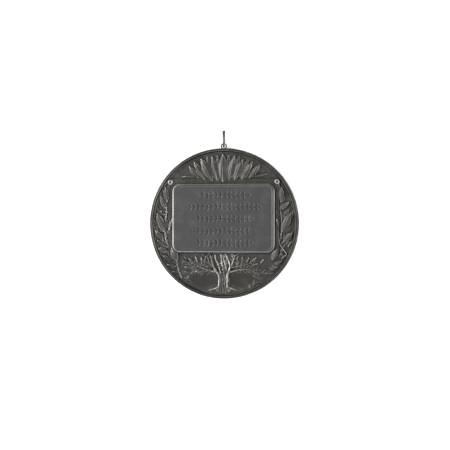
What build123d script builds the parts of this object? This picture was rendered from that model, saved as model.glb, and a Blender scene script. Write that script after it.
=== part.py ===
"""Award medal: a struck silvered disc with a blank inscription tablet over a tree and leaf sprays in
relief, an eye soldered on its edge, and a wire hanging ring that passes through the eye.

It lies on its flat back with its face up. The origin is the centre of the back, +Z is out of the face
and +Y points to the eye. Sizes are in millimetres. Places in the relief are a bearing from the eye,
clockwise in degrees, and a share of the way from the tablet's outline (0) out to the edge of the field
(1), so that the relief follows both.
"""

import os
from math import atan2, cos, degrees, radians, sin, sqrt

from build123d import *

# Disc
medal_diameter = 50.0
edge_height = 3.4  # top of the rim above the back
edge_round = 0.35  # rounding of the two outer edges
rim_width = 0.75  # flat top of the rim
rim_slope = 0.5  # width of the rim's sloping inner wall
field_level = 2.1  # sunken ground of the relief
back_line_inset = 1.8  # turned line on the back, inwards from the edge
back_line_width = 0.3
back_line_depth = 0.12

# Tablet and the board behind it
tablet_width = 34.6
tablet_height = 22.9
tablet_rise = 1.8  # its centre above the disc's centre
tablet_corner = 2.6
tablet_level = 3.15
tablet_bevel = 0.3
border_width = 0.85  # raised border round the panel
panel_depth = 0.12
board_side_margin = 1.5
board_top_margin = 1.7
board_foot_margin = 0.25
board_corner = 0.5
board_level = 2.45

# Nail heads at the board's upper corners, in line with the tablet's
nail_radius = 0.95
nail_level = 2.95
nail_dimple = 0.4
nail_edge_gap = 0.03  # nail head to the edge of the field

# Relief
relief_root = 0.3  # depth of leaves and limbs below the field, where they join the disc
leaf_edge_share = 0.45  # height of a leaf's edge as a share of its midrib's
leaf_base_share = 0.5  # height of a leaf's base as a share of its tip's
berry_radius = 0.6
berry_sink = 0.05  # centre of a berry below the field
limb_flat_share = 0.4  # width of a limb's flat top as a share of its foot
ground_level = 2.4
ground_top_share = 0.83
ground_radius = 25.0  # curve of the hill that the tree stands on

# Eye and hanging ring
eye_bore = 1.36
eye_wall = 0.33
eye_depth = 0.8  # along Z
eye_gap = 0.04  # rim's edge to the bore
ring_wire = 0.55
ring_diameter = 5.9  # outside
ring_overlap_gap = 0.05  # between the ring's two cut ends, which lie side by side
ring_cut_angle = 4.0
ring_lean = 10.0  # lean of the ring on the surface, towards +X
ring_floor_gap = 0.02

medal_radius = medal_diameter / 2
field_radius = medal_radius - rim_width - rim_slope
relief_height = edge_height - field_level
tablet_top = tablet_rise + tablet_height / 2
tablet_foot = tablet_rise - tablet_height / 2
corner_bearing = degrees(atan2(tablet_width / 2, tablet_top))

# Leaves: bearing and share of the base, bearing and share of the tip, width as a share of the length,
# and height of the tip as a share of the relief's height.
fan_leaves = [
    # low ones behind
    (328.5, 0.38, 317.5, 0.55, 0.24, 0.40),
    (331.0, 0.24, 328.5, 0.88, 0.34, 0.50),
    (344.5, 0.16, 346.0, 0.94, 0.28, 0.50),
    (355.0, 0.12, 355.0, 0.94, 0.26, 0.50),
    (3.5, 0.12, 4.5, 0.94, 0.28, 0.55),
    (12.0, 0.14, 13.5, 0.95, 0.28, 0.55),
    (20.0, 0.20, 21.5, 0.95, 0.28, 0.50),
    (33.0, 0.34, 42.5, 0.76, 0.22, 0.45),
    # raised ones in front
    (337.0, 0.14, 334.0, 0.94, 0.32, 0.75),
    (345.5, 0.08, 340.5, 0.94, 0.36, 0.95),
    (352.5, 0.06, 350.0, 0.94, 0.24, 0.75),
    (359.5, 0.04, 359.5, 0.96, 0.33, 1.00),
    (7.5, 0.08, 9.5, 0.96, 0.26, 0.80),
    (14.5, 0.10, 17.0, 0.88, 0.32, 0.90),
    (22.5, 0.14, 25.5, 0.92, 0.30, 0.75),
    (30.0, 0.22, 32.0, 0.96, 0.32, 0.65),
]
left_leaves = [
    (298.0, 0.46, 308.0, 0.72, 0.30, 0.45),
    (290.0, 0.38, 302.0, 0.90, 0.42, 0.80),
    (284.0, 0.42, 294.0, 0.97, 0.38, 0.70),
    (266.0, 0.84, 274.0, 1.03, 0.32, 0.50),
    (261.5, 0.46, 279.0, 0.88, 0.40, 0.90),
    (262.5, 0.22, 277.0, -0.03, 0.30, 0.98),
    (254.0, 0.58, 265.0, 0.97, 0.42, 0.70),
    (249.0, 0.56, 257.0, 0.97, 0.38, 0.50),
    (243.5, 0.48, 250.0, 1.04, 0.50, 0.70),
    (231.0, 0.60, 246.0, 0.08, 0.50, 0.95),
    (235.0, 0.72, 243.0, 0.92, 0.44, 0.55),
    (228.0, 0.76, 235.0, 1.02, 0.38, 0.60),
    (221.5, 0.84, 228.0, 1.02, 0.34, 0.50),
]
right_leaves = [
    (61.0, 0.48, 52.0, 0.72, 0.30, 0.45),
    (70.5, 0.40, 58.0, 0.78, 0.42, 0.75),
    (76.5, 0.24, 72.0, 0.94, 0.38, 0.75),
    (99.0, 0.34, 80.5, 0.90, 0.37, 0.90),
    (86.5, 0.86, 79.0, 1.03, 0.32, 0.45),
    (93.0, 0.16, 84.0, 0.08, 0.40, 0.75),
    (107.0, 0.50, 97.0, 0.94, 0.44, 0.75),
    (110.0, 0.84, 103.0, 1.03, 0.36, 0.55),
    (127.0, 0.56, 114.0, 0.18, 0.50, 0.90),
    (121.5, 0.74, 115.0, 1.03, 0.38, 0.60),
    (128.0, 0.74, 121.5, 0.96, 0.40, 0.60),
    (134.0, 0.76, 127.5, 0.97, 0.36, 0.60),
    (140.0, 0.80, 133.5, 1.02, 0.34, 0.55),
]
crown_leaves = [
    (198.5, 0.24, 200.0, 0.06, 0.34, 0.45),
    (206.0, 0.29, 209.5, 0.07, 0.36, 0.50),
    (208.5, 0.36, 214.5, 0.12, 0.34, 0.55),
    (214.5, 0.34, 222.0, 0.12, 0.40, 0.80),
    (217.5, 0.41, 226.0, 0.26, 0.44, 0.65),
    (220.0, 0.42, 229.0, 0.46, 0.36, 0.55),
    (215.5, 0.54, 223.0, 0.63, 0.34, 0.50),
    (204.0, 0.50, 211.5, 0.60, 0.28, 0.50),
    (213.5, 0.96, 214.5, 0.76, 0.34, 0.40),
    (160.0, 0.24, 154.5, 0.06, 0.36, 0.50),
    (155.0, 0.32, 148.5, 0.09, 0.36, 0.55),
    (149.5, 0.33, 140.5, 0.13, 0.36, 0.65),
    (143.5, 0.31, 133.5, 0.20, 0.34, 0.70),
    (145.5, 0.44, 137.0, 0.44, 0.34, 0.60),
    (146.0, 0.57, 139.5, 0.68, 0.32, 0.50),
    (137.5, 0.47, 129.0, 0.32, 0.38, 0.75),
    (143.0, 0.72, 136.0, 0.74, 0.34, 0.50),
    (154.0, 0.96, 150.5, 0.78, 0.30, 0.45),
]

# Berries: bearing and share.
berries = [
    (280.5, 0.68),
    (281.5, 0.34),
    (261.5, 0.24),
    (258.0, 0.40),
    (253.5, 0.34),
    (78.0, 0.10),
    (103.5, 0.34),
    (117.5, 0.60),
]

# Limbs of the tree and stems: each has its height as a share of the relief's, and a row of stations with
# bearing, share, and width in shares of the trunk's.
trunk_width = 3.8
tree_limbs = [
    # the trunk's low core, then its ribs, each from the foot to a branch's end
    (0.40, [(180.0, 0.86, 1.15), (180.0, 0.78, 0.95), (180.2, 0.56, 0.92), (180.4, 0.46, 1.15),
            (181.0, 0.36, 1.20)]),
    (0.90, [(185.0, 0.90, 0.20), (184.0, 0.80, 0.25), (184.6, 0.56, 0.25), (188.5, 0.46, 0.23),
            (193.5, 0.34, 0.20), (198.0, 0.20, 0.18), (204.0, 0.04, 0.14)]),
    (0.75, [(182.0, 0.86, 0.13), (182.2, 0.56, 0.15), (184.6, 0.42, 0.15), (188.0, 0.28, 0.14),
            (193.0, 0.16, 0.13), (196.0, 0.04, 0.11)]),
    (0.70, [(179.2, 0.84, 0.12), (179.2, 0.56, 0.14), (180.6, 0.40, 0.13), (182.5, 0.22, 0.12),
            (185.0, 0.04, 0.11)]),
    (0.90, [(175.0, 0.90, 0.20), (176.2, 0.80, 0.25), (175.8, 0.56, 0.25), (173.2, 0.44, 0.22),
            (171.0, 0.30, 0.19), (173.0, 0.17, 0.16), (175.8, 0.04, 0.12)]),
    # upper branches
    (0.65, [(190.5, 0.42, 0.16), (199.0, 0.29, 0.14), (205.0, 0.15, 0.12), (209.0, 0.04, 0.10)]),
    (0.80, [(172.8, 0.42, 0.18), (168.0, 0.28, 0.16), (163.0, 0.15, 0.14), (159.0, 0.04, 0.11)]),
    (0.60, [(176.5, 0.40, 0.14), (178.0, 0.26, 0.13), (180.5, 0.12, 0.11), (180.0, 0.04, 0.10)]),
    # roots
    (0.70, [(184.2, 0.82, 0.22), (188.5, 0.88, 0.18), (192.5, 0.93, 0.10)]),
    (0.70, [(175.8, 0.82, 0.22), (171.5, 0.88, 0.18), (168.0, 0.93, 0.10)]),
]
side_branches = [
    (0.70, [(187.5, 0.47, 0.20), (198.5, 0.46, 0.17), (209.0, 0.44, 0.14), (218.0, 0.40, 0.11),
            (226.0, 0.38, 0.08)]),
    (0.45, [(195.0, 0.48, 0.12), (206.0, 0.52, 0.10), (215.5, 0.58, 0.08)]),
    (0.70, [(173.5, 0.47, 0.20), (161.0, 0.45, 0.17), (151.0, 0.50, 0.12), (145.0, 0.60, 0.08)]),
    (0.55, [(169.5, 0.36, 0.14), (159.0, 0.36, 0.12), (149.5, 0.35, 0.10), (140.0, 0.30, 0.08)]),
]
stems = [
    (0.45, [(218.0, 0.96, 0.12), (222.5, 0.86, 0.13), (230.0, 0.66, 0.11)]),
    (0.35, [(247.0, 0.26, 0.11), (254.0, 0.42, 0.13), (264.0, 0.42, 0.13), (276.0, 0.36, 0.12),
            (288.0, 0.38, 0.10)]),
    (0.50, [(115.5, 0.96, 0.15), (113.0, 0.60, 0.15), (109.5, 0.30, 0.13), (101.0, 0.18, 0.12),
            (92.0, 0.04, 0.11)]),
    (0.35, [(108.5, 0.28, 0.13), (99.0, 0.34, 0.13), (88.5, 0.34, 0.12), (78.0, 0.32, 0.11),
            (71.0, 0.38, 0.09)]),
]


def place(bearing, share):
    """Plan position of a bearing and share, as in the tables."""
    across, up = sin(radians(bearing)), cos(radians(bearing))
    to_side = tablet_width / 2 / max(abs(across), 1e-9)
    to_end = (tablet_top if up > 0 else -tablet_foot) / max(abs(up), 1e-9)
    inner = min(to_side, to_end)
    reach = inner + share * (field_radius - inner)
    return Vector(reach * across, reach * up)


def struck_disc():
    """The disc: flat back with a turned line, rounded edge, rim, and sunken field."""
    section = Polyline(
        (0, 0),
        (medal_radius, 0),
        (medal_radius, edge_height),
        (medal_radius - rim_width, edge_height),
        (field_radius, field_level),
        (0, field_level),
        close=True,
    )
    face = make_face(section)
    outer_corners = face.vertices().filter_by_position(Axis.X, medal_radius - 0.01, medal_radius + 0.01)
    face = fillet(outer_corners, edge_round)
    line_radius = medal_radius - back_line_inset
    line = Polyline(
        (line_radius - back_line_width / 2, 0),
        (line_radius + back_line_width / 2, 0),
        (line_radius, back_line_depth),
        close=True,
    )
    face -= make_face(line)
    return revolve(Plane.XZ * face, Axis.Z)


def rounded_slab(width, height, rise, corner, bottom, top):
    """Upright slab with rounded corners, its centre raised by rise along Y."""
    outline = Pos(0, rise, bottom) * RectangleRounded(width, height, corner)
    return extrude(outline, top - bottom)


def tablet():
    """The tablet: bevelled outside, with a raised border round its blank panel."""
    bottom = field_level - relief_root
    slab = rounded_slab(tablet_width, tablet_height, tablet_rise, tablet_corner, bottom, tablet_level)
    slab = chamfer(slab.faces().sort_by(Axis.Z)[-1].outer_wire().edges(), tablet_bevel)
    panel = rounded_slab(
        tablet_width - 2 * border_width,
        tablet_height - 2 * border_width,
        tablet_rise,
        tablet_corner - border_width,
        tablet_level - panel_depth,
        tablet_level + relief_root,
    )
    return slab - panel


def board():
    """The low board behind the tablet, which stands out past its sides and top, within the field."""
    width = tablet_width + 2 * board_side_margin
    height = tablet_height + board_top_margin + board_foot_margin
    rise = tablet_rise + (board_top_margin - board_foot_margin) / 2
    slab = rounded_slab(width, height, rise, board_corner, field_level - relief_root, board_level)
    return slab & Cylinder(field_radius, edge_height * 2)


def nail_head(side):
    """Round dimpled nail head, just inside the field's edge and in line with the tablet's corner."""
    reach = field_radius - nail_edge_gap - nail_radius
    bearing = radians(side * corner_bearing)
    bottom = field_level - relief_root
    section = Polyline(
        (0, bottom),
        (nail_radius, bottom),
        (nail_radius, nail_level - nail_dimple / 2),
        (nail_radius - nail_dimple / 2, nail_level),
        (nail_dimple, nail_level),
        (0, nail_level - nail_dimple / 2),
        close=True,
    )
    head = revolve(Plane.XZ * make_face(section), Axis.Z)
    return Pos(reach * sin(bearing), reach * cos(bearing), 0) * head


def leaf(base_bearing, base_share, tip_bearing, tip_share, width_share, height_share):
    """Pointed leaf: two arcs in plan under a roof whose ridge, the midrib, climbs from base to tip."""
    base, tip = place(base_bearing, base_share), place(tip_bearing, tip_share)
    along = (tip - base).normalized()
    side = Vector(-along.Y, along.X)
    length = (tip - base).length
    half_width = width_share * length / 2
    middle = (base + tip) * 0.5
    root = Vector(0, 0, field_level - relief_root)
    left_arc = ThreePointArc(base + root, middle + side * half_width + root, tip + root)
    right_arc = ThreePointArc(tip + root, middle - side * half_width + root, base + root)
    prism = extrude(make_face([left_arc, right_arc]), relief_root + 2 * relief_height)

    tip_height = height_share * relief_height
    base_height = leaf_base_share * tip_height
    ridge_base = base + Vector(0, 0, field_level + base_height)
    ridge_tip = tip + Vector(0, 0, field_level + tip_height)
    ridge = (ridge_tip - ridge_base).normalized()
    reach = 1.5 * half_width
    fall = 1 - leaf_edge_share
    drop = fall * (base_height + tip_height) / 2 * reach / half_width
    floor = -4 * relief_height
    section = make_face(
        Polyline((-reach, -drop), (0, 0), (reach, -drop), (reach, floor), (-reach, floor), close=True)
    )
    across = Plane(origin=ridge_base - ridge * length, x_dir=side, z_dir=ridge)
    if across.y_dir.Z < 0:
        across = Plane(origin=across.origin, x_dir=-side, z_dir=ridge)
    roof = extrude(across * section, 3 * length)
    return prism & roof


def limb(height_share, stations):
    """Tapering limb or stem with sloping sides, lofted through one upright section at each station."""
    points = [place(bearing, share) for bearing, share, _ in stations]
    sections = []
    for i, (_, _, width_share) in enumerate(stations):
        before, after = points[max(i - 1, 0)], points[min(i + 1, len(points) - 1)]
        along = (after - before).normalized()
        side = Vector(-along.Y, along.X)
        foot = width_share * trunk_width / 2
        top = foot * limb_flat_share
        low = Vector(0, 0, field_level - relief_root)
        high = Vector(0, 0, field_level + min(2 * foot, height_share * relief_height))
        corners = [
            points[i] - side * foot + low,
            points[i] + side * foot + low,
            points[i] + side * top + high,
            points[i] - side * top + high,
        ]
        sections.append(Wire.make_polygon(corners, close=True))
    return Solid.make_loft(sections, ruled=True)


def ground():
    """The hill under the tree, cut off by the edge of the field."""
    top = place(180, ground_top_share).Y
    height = ground_level - field_level + relief_root
    hill = Pos(0, top - ground_radius, ground_level - height / 2) * Cylinder(ground_radius, height)
    return hill & Cylinder(field_radius, edge_height * 2)


def berry(bearing, share):
    """Round berry, sunk in the field to a little above its middle."""
    centre = place(bearing, share)
    return Pos(centre.X, centre.Y, field_level - berry_sink) * Sphere(berry_radius)


def eye():
    """The eye soldered on the edge, bored along Z."""
    radius = eye_bore / 2 + eye_wall
    centre = medal_radius + eye_gap + eye_bore / 2
    middle = edge_height / 2
    body = Pos(0, centre, middle) * Cylinder(radius, eye_depth)
    foot_length = centre - medal_radius + relief_root
    foot = Pos(0, centre - foot_length / 2, middle) * Box(2 * radius, foot_length, eye_depth)
    bore = Pos(0, centre, middle) * Cylinder(eye_bore / 2, 2 * eye_depth)
    return body + (foot - bore) - bore


def hanging_ring():
    """One turn of wire, its cut ends side by side at the top. It stands on the surface and leans."""
    wire_radius = ring_wire / 2
    turn_radius = ring_diameter / 2 - wire_radius
    pitch = ring_wire + ring_overlap_gap
    lean = radians(ring_lean)
    centre_z = ring_floor_gap + wire_radius + turn_radius * cos(lean) + pitch / 4 * sin(lean)

    # Distances from the ring's centre at which the wire crosses the eye's two faces: their mean is set on
    # the bore.
    crossings = [
        sqrt(turn_radius**2 - ((z - centre_z) / cos(lean)) ** 2)
        for z in ((edge_height - eye_depth) / 2, (edge_height + eye_depth) / 2)
    ]
    centre_y = medal_radius + eye_gap + eye_bore / 2 + sum(crossings) / 2
    centre_x = (centre_z - edge_height / 2) * sin(lean) / cos(lean)

    cut = ring_cut_angle / 360
    path = Helix(pitch, pitch * (1 - cut), turn_radius)
    path = Pos(0, 0, -pitch * (1 - cut) / 2) * Rot(0, 0, ring_cut_angle / 2) * path
    section = Plane(origin=path @ 0, z_dir=path % 0) * Circle(wire_radius)
    wire = sweep(section, path=path, is_frenet=True)
    # The helix starts on +X and winds about Z: its start goes to +Y and its axis to -X.
    wire = Rot(0, -90, 0) * Rot(0, 0, 90) * wire
    return Pos(centre_x, centre_y, centre_z) * Rot(0, ring_lean, 0) * wire


def medal():
    """The struck disc with its relief, tablet and eye: one solid."""
    body = struck_disc()
    for piece in (tablet(), board(), ground(), nail_head(-1), nail_head(1), eye()):
        body += piece
    body += [limb(*row) for row in tree_limbs + side_branches + stems]
    for leaves in (fan_leaves, left_leaves, right_leaves, crown_leaves):
        body += [leaf(*row) for row in leaves]
    body += [berry(bearing, share) for bearing, share in berries]
    return body


os.makedirs("parts", exist_ok=True)
for name, solid in {"medal": medal(), "hanging_ring": hanging_ring()}.items():
    export_step(solid, f"parts/{name}.step")
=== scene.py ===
"""Dresses the award medal's solids: fine relief for the struck disc, an engraved tablet, the soldered eye,
the hanging ring, oxidised silver, and the pale floor, soft lights and camera of the photograph.

Shapes are worked out in millimetres in the part's own frame and made in metres. Places in the relief are a
bearing from the eye, clockwise in degrees, and a share of the way from the tablet's outline (0) to the edge
of the field (1), as in the part's source, whose sizes and tables are repeated here.
"""

import math

import bpy
import numpy as np
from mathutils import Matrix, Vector


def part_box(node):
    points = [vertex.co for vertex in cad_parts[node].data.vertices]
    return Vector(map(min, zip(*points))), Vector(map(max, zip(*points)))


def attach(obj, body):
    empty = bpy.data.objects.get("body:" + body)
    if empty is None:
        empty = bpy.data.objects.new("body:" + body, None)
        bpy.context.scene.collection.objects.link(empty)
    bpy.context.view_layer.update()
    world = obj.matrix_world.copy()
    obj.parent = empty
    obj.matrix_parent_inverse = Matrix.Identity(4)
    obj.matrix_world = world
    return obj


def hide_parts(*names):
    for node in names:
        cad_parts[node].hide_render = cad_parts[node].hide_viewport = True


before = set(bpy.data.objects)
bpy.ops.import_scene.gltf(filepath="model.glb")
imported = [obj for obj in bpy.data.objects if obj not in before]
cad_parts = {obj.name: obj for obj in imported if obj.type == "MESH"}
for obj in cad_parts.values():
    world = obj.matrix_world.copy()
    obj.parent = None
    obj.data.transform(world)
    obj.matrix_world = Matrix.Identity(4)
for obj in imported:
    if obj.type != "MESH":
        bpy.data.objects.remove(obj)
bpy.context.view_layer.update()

MM = 0.001
medal_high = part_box("medal")[1]

# Disc
medal_radius = medal_high.x / MM
edge_height = medal_high.z / MM
edge_round = 0.35
rim_width = 0.75
rim_slope = 0.5
slope_curve = 1.3
field_level = 2.1
back_line_inset = 1.8
back_line_width = 0.3
back_line_depth = 0.12

# Tablet and the board behind it
tablet_width = 34.6
tablet_height = 22.9
tablet_rise = 1.8
tablet_corner = 2.6
tablet_level = 3.15
border_width = 0.85
panel_depth = 0.12
panel_dish = 0.035  # how much lower its middle is
dish_inset = 1.2
dish_width = 4.0
wall_share = 0.72  # of the wall's height, under its rounded shoulder
wall_run = 0.10
shoulder_run = 0.45
shoulder_curve = 0.6
board_side_margin = 1.5
board_top_margin = 1.7
board_foot_margin = 0.25
board_corner = 0.5
board_level = 2.45

# Nail heads; the radii of the flat part and the pit are shares of the head's.
nail_radius = 0.95
nail_level = 2.95
nail_edge_gap = 0.03
nail_flat = 0.6
nail_fall = 0.25  # how much lower the edge is
nail_pit = 0.5
nail_pit_run = 0.35
nail_pit_depth = 0.28

# Relief: runs over which a raised form climbs from what lies under it.
soft_run = 0.16
crisp_run = 0.14

# Leaves. A ramp has its start and the run over which it rises to 1.
leaf_edge_share = 0.45
leaf_base_share = 0.5
leaf_broadest = 0.92  # under 1 the broadest place is nearer the base
leaf_fullness = 0.78
tip_droop = 0.45  # how far a leaf's end bends down
tip_ramp = (0.7, 0.3)
full_half = 0.8  # half width from which a leaf has its rib, veins and lip in full
leaf_rib = (0.07, 0.0, 0.11)  # height, place and half width
leaf_groove = (-0.09, 0.28, 0.14)
leaf_lip = (0.10, 0.22, 0.10)
vein_height = 0.018
vein_pitch = 0.75
vein_slant = 0.9
berry_radius = 0.6
berry_sink = 0.05

# Ground under the tree
ground_level = 2.4
ground_top_share = 0.83
ground_radius = 25.0
ground_run = 1.4

# Limbs and stems. Waves along them are in radians to a millimetre.
trunk_width = 3.8
limb_steps = 12  # to a station
limb_taper = 1.3  # tapered end in half widths
limb_side_share = 0.35
bark_run = 0.2
furrow_size = 0.13  # across the limb, to a radian
furrow_swing = 1.2
furrow_wave = 1.9
furrow_depth = 0.05
furrow_ramp = (0.3, 0.3)  # by the half width of the limb
trunk_furrow = 0.13
trunk_ramp = (0.8, 0.8)
lump_height = 0.015
lump_wave = 4.1

# Roughness: height, size and seed of each kind of ripple.
ripple_waves = 14
ripple_spread = (0.7, 1.5)  # of the waves' closeness
field_swell = (0.025, 2.6, 11)
field_matting = (0.035, 0.62, 12)
ground_lumps = (0.05, 1.1, 14)
relief_lumps = (0.02, 0.7, 13)
knot_swirl = (1.2, 1.2, 15)
panel_swell = (0.006, 5.0, 21)
grime_patches = (0.5, 6.0, 31)
wear_spots = (0.45, 1.7, 33)
film_patches = (0.2, 8.0, 51)

# Eye and hanging ring
eye_bore = 1.36
eye_wall = 0.33
eye_depth = 0.8
eye_gap = 0.04
eye_round = 0.09
eye_sides = 56
foot_spread = 0.55  # sine of the angle from which the foot reaches into the disc
foot_sink = 0.35
ring_wire = 0.55
ring_diameter = 5.9
ring_overlap_gap = 0.05
ring_cut_angle = 4.0
ring_lean = 10.0
ring_floor_gap = 0.02
ring_sides = 20
ring_stations = 97
cap_share = 0.7  # radius and rise of the wire's end, as shares of the wire's radius
cap_rise = 0.22

field_radius = medal_radius - rim_width - rim_slope
relief_height = edge_height - field_level
tablet_top = tablet_rise + tablet_height / 2
tablet_foot = tablet_rise - tablet_height / 2

# Leaves: bearing and share of the base and of the tip, width as a share of the length, and height of the
# tip as a share of the relief's height.
fan_leaves = [
    # low ones behind
    (328.5, 0.38, 317.5, 0.55, 0.24, 0.40),
    (331.0, 0.24, 328.5, 0.88, 0.34, 0.50),
    (344.5, 0.16, 346.0, 0.94, 0.28, 0.50),
    (355.0, 0.12, 355.0, 0.94, 0.26, 0.50),
    (3.5, 0.12, 4.5, 0.94, 0.28, 0.55),
    (12.0, 0.14, 13.5, 0.95, 0.28, 0.55),
    (20.0, 0.20, 21.5, 0.95, 0.28, 0.50),
    (33.0, 0.34, 42.5, 0.76, 0.22, 0.45),
    # raised ones in front
    (337.0, 0.14, 334.0, 0.94, 0.32, 0.75),
    (345.5, 0.08, 340.5, 0.94, 0.36, 0.95),
    (352.5, 0.06, 350.0, 0.94, 0.24, 0.75),
    (359.5, 0.04, 359.5, 0.96, 0.33, 1.00),
    (7.5, 0.08, 9.5, 0.96, 0.26, 0.80),
    (14.5, 0.10, 17.0, 0.88, 0.32, 0.90),
    (22.5, 0.14, 25.5, 0.92, 0.30, 0.75),
    (30.0, 0.22, 32.0, 0.96, 0.32, 0.65),
]
left_leaves = [
    (298.0, 0.46, 308.0, 0.72, 0.30, 0.45),
    (290.0, 0.38, 302.0, 0.90, 0.42, 0.80),
    (284.0, 0.42, 294.0, 0.97, 0.38, 0.70),
    (266.0, 0.84, 274.0, 1.03, 0.32, 0.50),
    (261.5, 0.46, 279.0, 0.88, 0.40, 0.90),
    (262.5, 0.22, 277.0, -0.03, 0.30, 0.98),
    (254.0, 0.58, 265.0, 0.97, 0.42, 0.70),
    (249.0, 0.56, 257.0, 0.97, 0.38, 0.50),
    (243.5, 0.48, 250.0, 1.04, 0.50, 0.70),
    (231.0, 0.60, 246.0, 0.08, 0.50, 0.95),
    (235.0, 0.72, 243.0, 0.92, 0.44, 0.55),
    (228.0, 0.76, 235.0, 1.02, 0.38, 0.60),
    (221.5, 0.84, 228.0, 1.02, 0.34, 0.50),
]
right_leaves = [
    (61.0, 0.48, 52.0, 0.72, 0.30, 0.45),
    (70.5, 0.40, 58.0, 0.78, 0.42, 0.75),
    (76.5, 0.24, 72.0, 0.94, 0.38, 0.75),
    (99.0, 0.34, 80.5, 0.90, 0.37, 0.90),
    (86.5, 0.86, 79.0, 1.03, 0.32, 0.45),
    (93.0, 0.16, 84.0, 0.08, 0.40, 0.75),
    (107.0, 0.50, 97.0, 0.94, 0.44, 0.75),
    (110.0, 0.84, 103.0, 1.03, 0.36, 0.55),
    (127.0, 0.56, 114.0, 0.18, 0.50, 0.90),
    (121.5, 0.74, 115.0, 1.03, 0.38, 0.60),
    (128.0, 0.74, 121.5, 0.96, 0.40, 0.60),
    (134.0, 0.76, 127.5, 0.97, 0.36, 0.60),
    (140.0, 0.80, 133.5, 1.02, 0.34, 0.55),
]
crown_leaves = [
    (198.5, 0.24, 200.0, 0.06, 0.34, 0.45),
    (206.0, 0.29, 209.5, 0.07, 0.36, 0.50),
    (208.5, 0.36, 214.5, 0.12, 0.34, 0.55),
    (214.5, 0.34, 222.0, 0.12, 0.40, 0.80),
    (217.5, 0.41, 226.0, 0.26, 0.44, 0.65),
    (220.0, 0.42, 229.0, 0.46, 0.36, 0.55),
    (215.5, 0.54, 223.0, 0.63, 0.34, 0.50),
    (204.0, 0.50, 211.5, 0.60, 0.28, 0.50),
    (213.5, 0.96, 214.5, 0.76, 0.34, 0.40),
    (160.0, 0.24, 154.5, 0.06, 0.36, 0.50),
    (155.0, 0.32, 148.5, 0.09, 0.36, 0.55),
    (149.5, 0.33, 140.5, 0.13, 0.36, 0.65),
    (143.5, 0.31, 133.5, 0.20, 0.34, 0.70),
    (145.5, 0.44, 137.0, 0.44, 0.34, 0.60),
    (146.0, 0.57, 139.5, 0.68, 0.32, 0.50),
    (137.5, 0.47, 129.0, 0.32, 0.38, 0.75),
    (143.0, 0.72, 136.0, 0.74, 0.34, 0.50),
    (154.0, 0.96, 150.5, 0.78, 0.30, 0.45),
]

# Low leaves on the ground beside the tree: bearing and share of the base and of the tip, and width as a
# share of the length.
foot_leaves = [
    (150.0, 0.70, 144.5, 0.84, 0.38),
    (146.5, 0.66, 139.5, 0.76, 0.36),
    (153.0, 0.86, 147.0, 0.97, 0.36),
    (147.5, 0.82, 141.5, 0.93, 0.38),
    (157.5, 0.97, 155.5, 0.84, 0.40),
    (213.5, 0.66, 220.0, 0.76, 0.38),
    (210.5, 0.88, 217.0, 0.90, 0.36),
]

# Berries: bearing and share.
berries = [
    (280.5, 0.68),
    (281.5, 0.34),
    (261.5, 0.24),
    (258.0, 0.40),
    (253.5, 0.34),
    (78.0, 0.10),
    (103.5, 0.34),
    (117.5, 0.60),
]

# Limbs of the tree and stems: each has its height as a share of the relief's, and a row of stations with
# bearing, share, and width in shares of the trunk's. The trunk is a low core with ribs, which run on as its
# main branches.
trunk_ribs = [
    (0.40, [(180.0, 0.86, 1.15), (180.0, 0.78, 0.95), (180.2, 0.56, 0.92), (180.4, 0.46, 1.15),
            (181.0, 0.36, 1.20)]),
    (0.90, [(185.0, 0.90, 0.20), (184.0, 0.80, 0.25), (184.6, 0.56, 0.25), (188.5, 0.46, 0.23),
            (193.5, 0.34, 0.20), (198.0, 0.20, 0.18), (204.0, 0.04, 0.14)]),
    (0.75, [(182.0, 0.86, 0.13), (182.2, 0.56, 0.15), (184.6, 0.42, 0.15), (188.0, 0.28, 0.14),
            (193.0, 0.16, 0.13), (196.0, 0.04, 0.11)]),
    (0.70, [(179.2, 0.84, 0.12), (179.2, 0.56, 0.14), (180.6, 0.40, 0.13), (182.5, 0.22, 0.12),
            (185.0, 0.04, 0.11)]),
    (0.90, [(175.0, 0.90, 0.20), (176.2, 0.80, 0.25), (175.8, 0.56, 0.25), (173.2, 0.44, 0.22),
            (171.0, 0.30, 0.19), (173.0, 0.17, 0.16), (175.8, 0.04, 0.12)]),
]
upper_branches = [
    (0.65, [(190.5, 0.42, 0.16), (199.0, 0.29, 0.14), (205.0, 0.15, 0.12), (209.0, 0.04, 0.10)]),
    (0.80, [(172.8, 0.42, 0.18), (168.0, 0.28, 0.16), (163.0, 0.15, 0.14), (159.0, 0.04, 0.11)]),
    (0.60, [(176.5, 0.40, 0.14), (178.0, 0.26, 0.13), (180.5, 0.12, 0.11), (180.0, 0.04, 0.10)]),
]
roots = [
    (0.70, [(184.2, 0.82, 0.22), (188.5, 0.88, 0.18), (192.5, 0.93, 0.10)]),
    (0.70, [(175.8, 0.82, 0.22), (171.5, 0.88, 0.18), (168.0, 0.93, 0.10)]),
]
side_branches = [
    (0.70, [(187.5, 0.47, 0.20), (198.5, 0.46, 0.17), (209.0, 0.44, 0.14), (218.0, 0.40, 0.11),
            (226.0, 0.38, 0.08)]),
    (0.45, [(195.0, 0.48, 0.12), (206.0, 0.52, 0.10), (215.5, 0.58, 0.08)]),
    (0.70, [(173.5, 0.47, 0.20), (161.0, 0.45, 0.17), (151.0, 0.50, 0.12), (145.0, 0.60, 0.08)]),
    (0.55, [(169.5, 0.36, 0.14), (159.0, 0.36, 0.12), (149.5, 0.35, 0.10), (140.0, 0.30, 0.08)]),
]
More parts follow.
